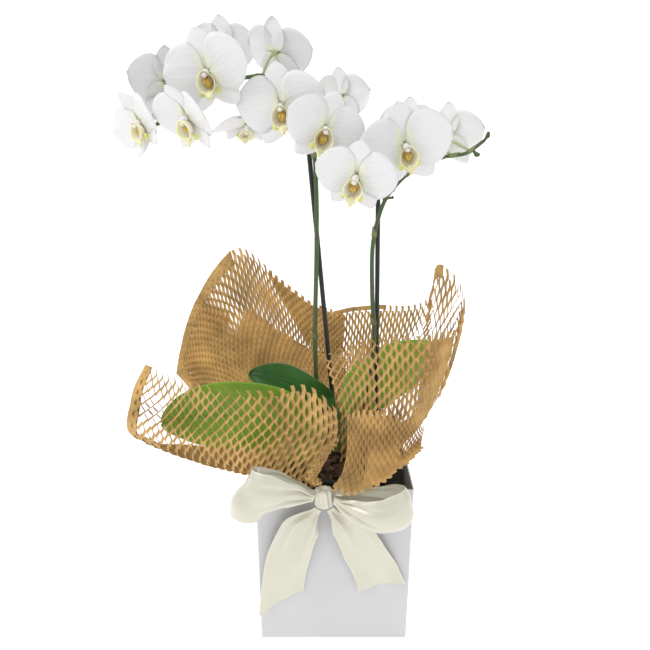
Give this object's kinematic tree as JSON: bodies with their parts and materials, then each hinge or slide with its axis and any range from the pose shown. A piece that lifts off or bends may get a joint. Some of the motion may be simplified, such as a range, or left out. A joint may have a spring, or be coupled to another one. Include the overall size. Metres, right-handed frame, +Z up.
{
  "type": "potted orchid",
  "caption": "Potted moth orchid with two flower spikes on stakes, in honeycomb kraft paper and an open square gift box with a satin bow.",
  "frame": {"origin": "middle of the box's underside, on the surface it stands on", "axes": "+Z up along the stems, -Y out of the front face of the box, +X to the right seen from the front"},
  "size_m": [0.3496, 0.2387, 0.6048],
  "materials": {
    "white card": "smooth white coated card",
    "foam": "adhesive foam",
    "black plastic": "satin black",
    "bark": "rough chips",
    "kraft paper": "slit and stretched honeycomb kraft paper",
    "ivory satin": "satin ribbon",
    "green leaf": "waxy leaf",
    "green stem": "smooth green stem",
    "white petal": "soft white petal",
    "yellow lip": "waxy yellow and white lip"
  },
  "bodies": {
    "root": {"gift_box": "white card", "pot_riser": "white card", "nursery_pot": "black plastic", "stake_left": "black plastic", "stake_right": "black plastic", "clip_left": "black plastic", "clip_right": "black plastic", "bark_medium": "bark", "plant_crown": "green stem", "spike_left": "green stem", "spike_right": "green stem", "bud_tip": "green stem", "bud_side": "green stem", "leaf_left_large": "green leaf", "leaf_left_small": "green leaf", "leaf_right": "green leaf", "flower_01": "white petal", "lip_01": "yellow lip", "flower_02": "white petal", "lip_02": "yellow lip", "flower_03": "white petal", "lip_03": "yellow lip", "flower_04": "white petal", "lip_04": "yellow lip", "flower_05": "white petal", "lip_05": "yellow lip", "flower_06": "white petal", "lip_06": "yellow lip", "flower_07": "white petal", "lip_07": "yellow lip", "flower_08": "white petal", "lip_08": "yellow lip", "flower_09": "white petal", "lip_09": "yellow lip", "flower_10": "white petal", "lip_10": "yellow lip", "flower_11": "white petal", "lip_11": "yellow lip", "flower_12": "white petal", "lip_12": "yellow lip", "flower_13": "white petal", "lip_13": "yellow lip", "flower_14": "white petal", "lip_14": "yellow lip", "paper_back_left": "kraft paper", "paper_back_right": "kraft paper", "paper_front_left": "kraft paper", "paper_front_right": "kraft paper", "paper_cone": "kraft paper", "paper_curl": "kraft paper", "ribbon_knot": "ivory satin", "ribbon_loop_left": "ivory satin", "ribbon_loop_right": "ivory satin", "ribbon_tail_left": "ivory satin", "ribbon_tail_right": "ivory satin", "bow_pad": "foam"}
  },
  "joints": []
}
